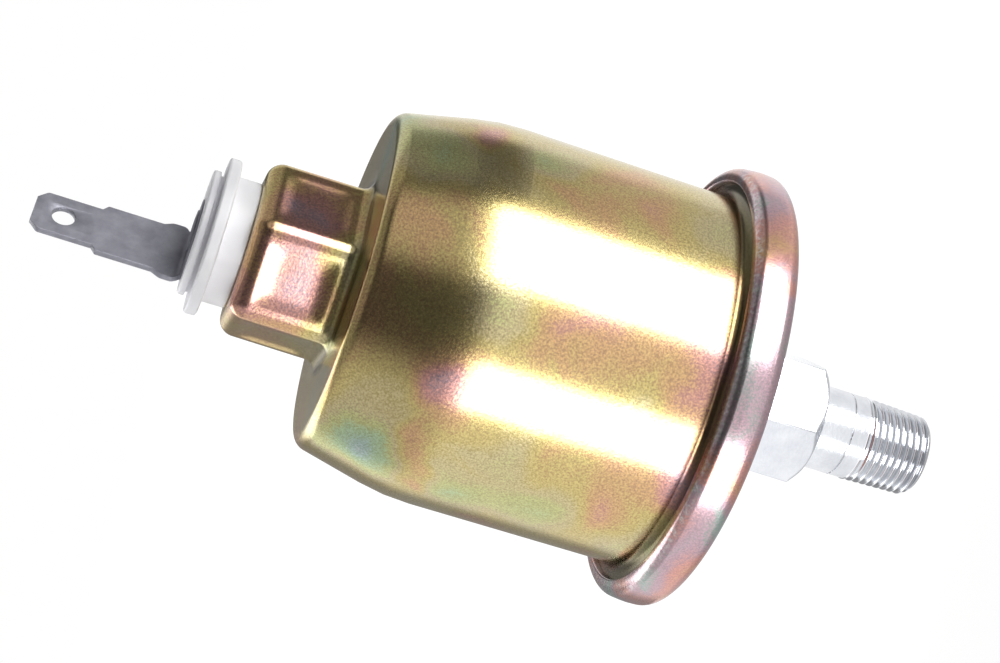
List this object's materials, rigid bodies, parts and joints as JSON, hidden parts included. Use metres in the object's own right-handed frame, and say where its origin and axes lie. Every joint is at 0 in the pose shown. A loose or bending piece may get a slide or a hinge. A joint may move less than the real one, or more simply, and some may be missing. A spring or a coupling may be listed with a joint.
{
  "type": "oil pressure sender",
  "caption": "Round sheet-metal oil pressure sender: threaded hexagon fitting, rolled rim, drawn can with a hexagonal nose, white insulator and spade terminal.",
  "frame": {"origin": "on the axis, in the plane of the fitting hexagon's lower face, where the collar and thread begin", "axes": "+Z along the axis from the thread to the terminal; the terminal blade's flat faces point along X and it stands on the -X side"},
  "size_m": [0.0558, 0.0558, 0.1136],
  "materials": {
    "zinc_steel": "yellow zinc-chromate plated steel sheet, satin, softly iridescent",
    "bright_steel": "bright zinc-plated turned steel",
    "plain_steel": "plain steel sheet",
    "terminal_metal": "dull tinned metal, blotchy grey, matte",
    "brass": "turned brass",
    "white_plastic": "white moulded plastic, matte",
    "card": "laminated insulating card",
    "rubber": "black seal rubber",
    "diaphragm": "rubber-coated fabric",
    "spring_metal": "springy bronze strip",
    "resistance_wire": "wound resistance wire"
  },
  "bodies": {
    "case": {"fitting": "bright_steel", "restrictor_plug": "brass", "base_pan": "zinc_steel", "seal_gasket": "rubber", "diaphragm": "diaphragm", "works_plate": "plain_steel", "cover_can": "zinc_steel", "outer_insulator": "white_plastic", "inner_insulator": "white_plastic", "ring_seal": "rubber", "contact_washer": "brass", "terminal_rivet": "terminal_metal", "spade_terminal": "terminal_metal", "range_spring": "plain_steel", "bridge": "brass", "pivot_pin": "plain_steel", "stop_screw": "plain_steel", "lock_nut": "plain_steel", "resistor_card": "card", "resistance_winding": "resistance_wire", "card_bracket": "plain_steel", "card_rivet_left": "brass", "card_rivet_right": "brass", "contact_strip": "spring_metal", "strip_rivet": "brass"},
    "pusher": {"pusher": "brass"},
    "lever": {"lever": "brass", "lever_hub": "brass", "wiper": "spring_metal", "wiper_rivet": "brass"}
  },
  "joints": [
    {"name": "pusher_slide", "type": "slide", "parent": "case", "child": "pusher", "axis": [0, 0, 1], "range_m": [0, 0.0014], "stiffness_N_per_m": 2000, "deforming": ["range_spring"]},
    {"name": "lever_hinge", "type": "hinge", "parent": "case", "child": "lever", "pos_m": [-0.005, 0, 0.0278], "axis": [0, -1, 0], "range_deg": [0, 16.05]}
  ],
  "couplings": [
    {"joint": "lever_hinge", "follows": "pusher_slide", "rad_per_m": 200}
  ]
}
